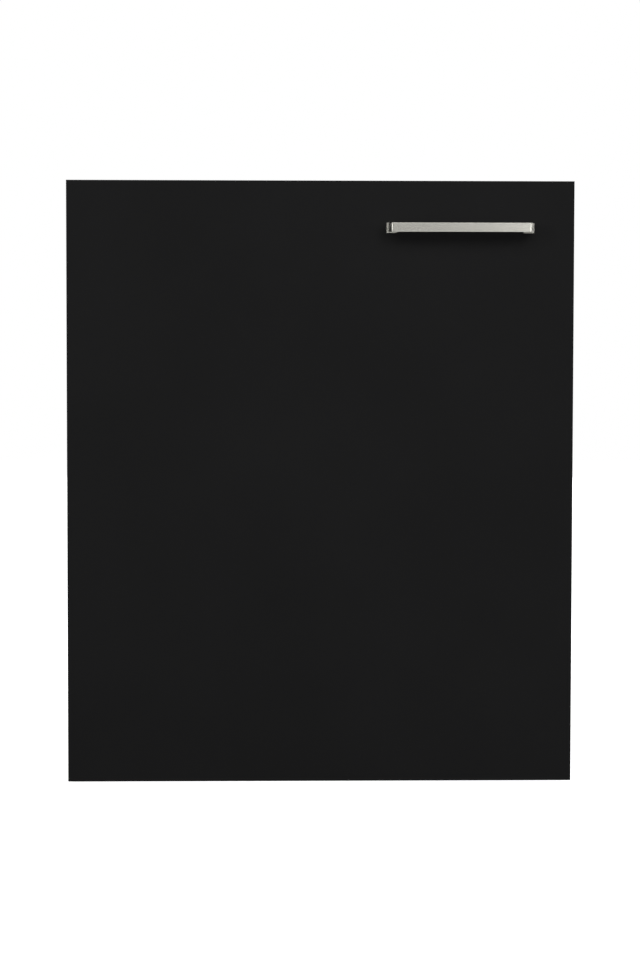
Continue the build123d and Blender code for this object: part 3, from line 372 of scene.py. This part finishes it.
slots = {entry["node"]: entry["material_slot"] for entry in frame["record"]["subparts"]}
for node, obj in frame["nodes"].items():
    if not obj.material_slots:
        obj.data.materials.append(None)
    for material_slot in obj.material_slots:
        material_slot.material = PAINTS[slots[node]]

# ---------------------------------------------------------------- mesh helpers
UPRIGHT = Matrix.Identity(3)
FORWARD = Matrix.Rotation(math.pi / 2, 3, "X")


def add_object(name, data):
    """A new object in the scene, from a mesh, a light or a camera."""
    obj = bpy.data.objects.new(name, data)
    bpy.context.scene.collection.objects.link(obj)
    return obj


def add_mesh(name, bm, material):
    """A new object from a filled bmesh, in one material."""
    mesh = bpy.data.meshes.new(name)
    bm.to_mesh(mesh)
    bm.free()
    mesh.materials.append(material)
    return add_object(name, mesh)


def piece(name, fill, body, slot, paint=None):
    """A new mesh object from a function that fills a bmesh, riding on a body."""
    bm = bmesh.new()
    fill(bm)
    bmesh.ops.recalc_face_normals(bm, faces=bm.faces)
    obj = add_mesh(name, bm, PAINTS[paint or slot])
    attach(obj, body)
    return obj


def prism(bm, bottom, top):
    """A closed solid between two outlines of equally many points."""
    low, high = ([bm.verts.new(point) for point in outline] for outline in (bottom, top))
    bm.faces.new(low)
    bm.faces.new(high)
    for k in range(len(low)):
        after = (k + 1) % len(low)
        bm.faces.new((low[k], low[after], high[after], high[k]))


def turned(bm, profile, at, sides, turn=UPRIGHT):
    """A solid of revolution from (radius, height) pairs, standing at a point on the turned +Z axis."""
    rings = []
    for r, h in profile:
        angles = [2 * math.pi * k / sides for k in range(sides if r else 1)]
        ring = [Vector(at) + turn @ Vector((r * math.cos(a), r * math.sin(a), h)) for a in angles]
        rings.append([bm.verts.new(point) for point in ring])
    for low, high in zip(rings, rings[1:]):
        for k in range(sides):
            quad = (low[k % len(low)], low[(k + 1) % len(low)], high[(k + 1) % len(high)], high[k % len(high)])
            bm.faces.new(list(dict.fromkeys(quad)))


def drum(bm, at, radius, half_height, sides):
    turned(bm, [(0, -half_height), (radius, -half_height), (radius, half_height), (0, half_height)], at, sides)


# ---------------------------------------------------------------- power screws with their real thread
def threaded_screw(x):
    """A trapezoidal right-hand thread between plain journals, as one skin wound up the bar."""
    outer, root, lead, steps = 9.0 * MM, 6.9 * MM, 4.0 * MM, 28
    thread_from, thread_to, overlap = 0.0705, 0.6875, 2 * MM
    tip, journal, shoulder, chamfer = 5.2 * MM, 6 * MM, 7 * MM, 0.8 * MM
    bar_foot, journal_top, shoulder_top, bar_top = 0.025, 0.052, 0.07, 0.706
    upper_journal_foot = 0.688
    lower_end = [(0, bar_foot), (tip, bar_foot), (journal, bar_foot + chamfer), (journal, journal_top),
                 (shoulder, journal_top), (shoulder, shoulder_top), (outer, shoulder_top),
                 (outer, thread_from + overlap), (0, thread_from + overlap)]
    upper_end = [(0, thread_to - overlap), (outer, thread_to - overlap), (outer, upper_journal_foot),
                 (journal, upper_journal_foot), (journal, bar_top - chamfer), (tip, bar_top), (0, bar_top)]
    flanks = ((0.0, root), (0.16, root), (0.36, outer), (0.64, outer), (0.84, root))

    def fill(bm):
        for profile in (lower_end, upper_end):
            turned(bm, profile, (x, RAM_Y, 0), 40)
        turns = int((thread_to - thread_from - lead) / lead)
        rows = []
        for k in range(turns * steps + 1):
            a = 2 * math.pi * k / steps
            foot_z = thread_from + lead * k / steps
            rows.append([bm.verts.new((x + r * math.cos(a), RAM_Y + r * math.sin(a), foot_z + share * lead))
                         for share, r in flanks])
        for k, (row, after) in enumerate(zip(rows, rows[1:])):
            for j in range(len(flanks) - 1):
                bm.faces.new((row[j], after[j], after[j + 1], row[j + 1]))
            if k + steps < len(rows) - 1:
                bm.faces.new((row[-1], after[-1], rows[k + steps + 1][0], rows[k + steps][0]))
    return fill


for side, x in (("left", -SCREW_X), ("right", SCREW_X)):
    bar = piece(f"{side}_threaded_screw", threaded_screw(x), f"{side}_screw", "screw_steel")
    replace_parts(bar, f"{side}_power_screw")


# ---------------------------------------------------------------- roller chain
def chain_route():
    """Points on the chain's pitch line, one per pin, round the three sprockets."""
    screw_r = CHAIN_PITCH / (2 * math.sin(math.pi / SCREW_TEETH))
    drive_r = CHAIN_PITCH / (2 * math.sin(math.pi / DRIVE_TEETH))
    stops = [(-SCREW_X, RAM_Y, screw_r), (SCREW_X, RAM_Y, screw_r), (0.0, JACK_Y, drive_r)]
    spans = []
    for (xa, ya, ra), (xb, yb, rb) in zip(stops, stops[1:] + stops[:1]):
        along = math.atan2(yb - ya, xb - xa)
        out = along - math.pi / 2 + math.asin((ra - rb) / math.hypot(xb - xa, yb - ya))
        spans.append((xa + ra * math.cos(out), ya + ra * math.sin(out),
                      xb + rb * math.cos(out), yb + rb * math.sin(out), out))
    stretches = []
    for k, (x0, y0, x1, y1, out) in enumerate(spans):
        stretches.append(("run", math.hypot(x1 - x0, y1 - y0), (x0, y0, x1, y1)))
        x, y, r = stops[(k + 1) % 3]
        turn = (spans[(k + 1) % 3][4] - out) % (2 * math.pi)
        stretches.append(("bend", r * turn, (x, y, r, out, turn)))
    total = sum(length for _, length, _ in stretches)
    count = round(total / CHAIN_PITCH / 2) * 2
    points = []
    for k in range(count):
        s = total * k / count
        for kind, length, data in stretches:
            if s <= length:
                break
            s -= length
        share = s / length
        if kind == "run":
            x0, y0, x1, y1 = data
            points.append(Vector((x0 + (x1 - x0) * share, y0 + (y1 - y0) * share, CHAIN_Z)))
        else:
            x, y, r, out, turn = data
            a = out + turn * share
            points.append(Vector((x + r * math.cos(a), y + r * math.sin(a), CHAIN_Z)))
    return points


def chain_links(bm):
    """Waisted side plates, rollers and pin heads for every link."""
    plate_r, waist, plate, end_steps = 2.9 * MM, 2.2 * MM, 0.6 * MM, 6
    inner_gap, outer_gap = 1.95 * MM, 2.65 * MM
    pins = chain_route()
    for k, a in enumerate(pins):
        b = pins[(k + 1) % len(pins)]
        along = (b - a).normalized()
        across = Vector((-along.y, along.x, 0))
        outline = []
        for end, flip in ((a, -1), (b, 1)):
            for t in range(end_steps + 1):
                turn = math.pi * (t / end_steps - 0.5)
                outline.append(end + flip * along * plate_r * math.cos(turn) + flip * across * plate_r * math.sin(turn))
            outline.append((a + b) / 2 + flip * across * waist)
        gap = outer_gap if k % 2 else inner_gap
        for side in (-1, 1):
            prism(bm, *([point + Vector((0, 0, side * z)) for point in outline] for z in (gap, gap + plate)))
        drum(bm, a, 2.4 * MM, 1.9 * MM, 12)
        drum(bm, a, 1.1 * MM, 3.1 * MM, 8)


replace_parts(piece("roller_chain", chain_links, "cabinet", "chain_steel"), "drive_chain")


# ---------------------------------------------------------------- fixings
def hex_bolt(bm, at, across, height):
    """A washer and a chamfered hexagon head."""
    washer_r, washer_top, corner_r = across * 0.86, height * 0.2, across / math.sqrt(3)
    turned(bm, [(0, 0), (washer_r, 0), (washer_r, washer_top), (0, washer_top)], at, 24)
    turned(bm, [(0, washer_top), (corner_r, washer_top), (corner_r, height * 0.98),
                (corner_r * 0.84, height * 1.15), (0, height * 1.15)], at, 6)


def bolts(name, body, places, across, height):
    def fill(bm):
        for at in places:
            hex_bolt(bm, at, across, height)
    piece(name, fill, body, "zinc_steel")


def grid(x, y, z, half_x, half_y):
    """The four corners of a level rectangle round a point."""
    return [(x + dx, y + dy, z) for dx in (-half_x, half_x) for dy in (-half_y, half_y)]


bolts("column_bolts", "ram", grid(0.0, RAM_Y, 0.446, 0.070, 0.055), 12 * MM, 6 * MM)
bolts("nut_housing_bolts", "ram", grid(0.0, RAM_Y, 0.686, SCREW_X, 0.022), 8 * MM, 1.3 * MM)
bearing_places = [at for s in (-1, 1) for at in grid(s * SCREW_X, RAM_Y, 0.032, 0.016, 0.016)]
bolts("bearing_bolts", "cabinet", bearing_places, 7 * MM, 3.5 * MM)
bolts("motor_foot_bolts", "cabinet", grid(MOTOR_X, MOTOR_Y, 0.084, 0.044, 0.044), 8 * MM, 5 * MM)


# ---------------------------------------------------------------- symbols on the control strip
def symbols(bm):
    """A ring round each button, and plain go, stop and lock signs beside them."""
    raised = 0.12 * MM
    start_x, stop_x, ring_inner, ring_outer = -0.060, 0.0, 14.6 * MM, 15.4 * MM
    section = [(ring_inner, 0.0), (ring_outer, 0.0), (ring_outer, raised), (ring_inner, raised), (ring_inner, 0.0)]
    for x in (start_x, stop_x):
        turned(bm, section, (x, FASCIA_Y, CONTROL_Z), 64, FORWARD)

    def bow(r_x, r_z):
        angles = [math.pi * t / 8 for t in range(9)]
        return [(r_x * math.cos(a), 0.0014 + r_z * math.sin(a)) for a in angles]

    def square(half, top):
        return [(-half, -half), (half, -half), (half, top), (-half, top)]

    go_x, square_x, lock_x = -0.082, 0.024, 0.064
    for x, points in ((go_x, [(-0.0025, -0.003), (0.0028, 0.0), (-0.0025, 0.003)]),
                      (square_x, square(0.0025, 0.0025)),
                      (lock_x, square(0.003, 0.0012)),
                      (lock_x, bow(0.002, 0.0024) + bow(0.0013, 0.0016)[::-1])):
        prism(bm, *([(x + px, y, CONTROL_Z + pz) for px, pz in points] for y in (FASCIA_Y, FASCIA_Y - raised)))


piece("control_symbols", symbols, "cabinet", "fascia_plastic", "symbol_white")

# ---------------------------------------------------------------- studio
FLOOR_RADIUS, FLOOR_GLOW, ROOM = 7.0, 0.92, 0.06

# Softboxes: name, place, point aimed at, size and watts. The key stands high in front, so the bar throws a soft
# shadow down the slab. The strips beside it light the handle's legs, and the walls light the sides and the back.
LIGHTS = (
    ("overhead", (0.0, 0.2, 3.0), (0.0, 0.0, 0.0), (2.0, 2.0), 40.0),
    ("key", (0.2, -6.0, 3.6), (0.0, -0.3, 0.45), (6.0, 3.4), 150.0),
    ("front_wall", (0.6, -6.0, 1.1), (0.1, -0.3, 0.6), (3.0, 0.9), 3.0),
    ("front_right", (0.80, -2.2, 1.15), (0.16, -0.3, 0.65), (0.5, 1.0), 9.0),
    ("right_strip", (1.45, -1.5, 1.0), (0.2, -0.3, 0.65), (0.2, 0.9), 3.3),
    ("front_left", (-1.0, -1.6, 1.0), (0.1, -0.3, 0.6), (0.2, 0.9), 5.6),
    ("below", (0.0, 0.0, -1.6), (0.0, 0.0, 0.0), (2.0, 2.0), 8.0),
    ("left_wall", (-4.5, 2.6, 1.6), (0.0, 0.1, 0.4), (4.0, 3.0), 50.0),
    ("right_wall", (4.5, 2.6, 1.6), (0.0, 0.1, 0.4), (4.0, 3.0), 70.0),
    ("rear_wall", (0.0, 5.5, 1.8), (0.0, 0.1, 0.4), (6.0, 3.4), 90.0),
)


def pale_floor():
    """A pale, faintly glowing floor that shows in gloss, but takes no part in diffuse light or shadows."""
    paper = Paint("studio_floor", (0.92, 0.92, 0.92), 0.9, specular=0.1)
    paper.tint(paper.noise(2.0), 0.99, 1.01)
    paper.set("Emission Color", (1.0, 1.0, 1.0, 1.0))
    paper.set("Emission Strength", FLOOR_GLOW)
    bm = bmesh.new()
    bmesh.ops.create_circle(bm, cap_ends=True, segments=96, radius=FLOOR_RADIUS)
    ground = add_mesh("studio_floor", bm, paper.material)
    ground.visible_diffuse = False
    ground.visible_shadow = False


def white_room():
    """A world that the camera sees as white, and that lights the object only dimly."""
    world = bpy.data.worlds.new("studio")
    bpy.context.scene.world = world
    world.use_nodes = True
    tree = world.node_tree
    room = tree.nodes["Background"]
    paper = tree.nodes.new("ShaderNodeBackground")
    for node, strength in ((room, ROOM), (paper, 1.0)):
        node.inputs["Color"].default_value = (1.0, 1.0, 1.0, 1.0)
        node.inputs["Strength"].default_value = strength
    seen = tree.nodes.new("ShaderNodeMixShader")
    path = tree.nodes.new("ShaderNodeLightPath")
    for output, socket in ((path.outputs["Is Camera Ray"], seen.inputs[0]), (room.outputs[0], seen.inputs[1]),
                           (paper.outputs[0], seen.inputs[2]),
                           (seen.outputs[0], tree.nodes["World Output"].inputs[0])):
        tree.links.new(output, socket)


def softbox(name, at, aimed_at, size, power):
    light = bpy.data.lights.new(name, "AREA")
    light.shape = "RECTANGLE"
    light.size, light.size_y = size
    light.energy = power
    box = add_object(name, light)
    box.location = at
    box.rotation_euler = (Vector(aimed_at) - Vector(at)).to_track_quat("-Z", "Y").to_euler()
    box.visible_camera = False


pale_floor()
white_room()
for light in LIGHTS:
    softbox(*light)

# ---------------------------------------------------------------- camera
LENS, SENSOR, DISTANCE = 105.0, 36.0, 3.3
TILT, TURN = math.radians(3.468), math.radians(1.640)
AIM_SHIFT = Vector((-0.0005, 0.00314, 0.0))

slab_low, slab_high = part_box("front_panel")
slab_middle = Vector((0.0, slab_low.y, (slab_low.z + slab_high.z) / 2))
turn = Matrix.Rotation(-TILT, 3, "X") @ Matrix.Rotation(-TURN, 3, "Z") @ Matrix.Rotation(math.pi / 2, 3, "X")
aim = slab_middle + turn @ AIM_SHIFT
camera_data = bpy.data.cameras.new("camera")
camera_data.lens = LENS
camera_data.sensor_width = SENSOR
camera_data.clip_end = 50.0
camera = add_object("camera", camera_data)
camera.matrix_world = Matrix.Translation(aim + turn @ Vector((0, 0, DISTANCE))) @ turn.to_4x4()
bpy.context.scene.camera = camera
bpy.context.scene.view_settings.view_transform = "Standard"
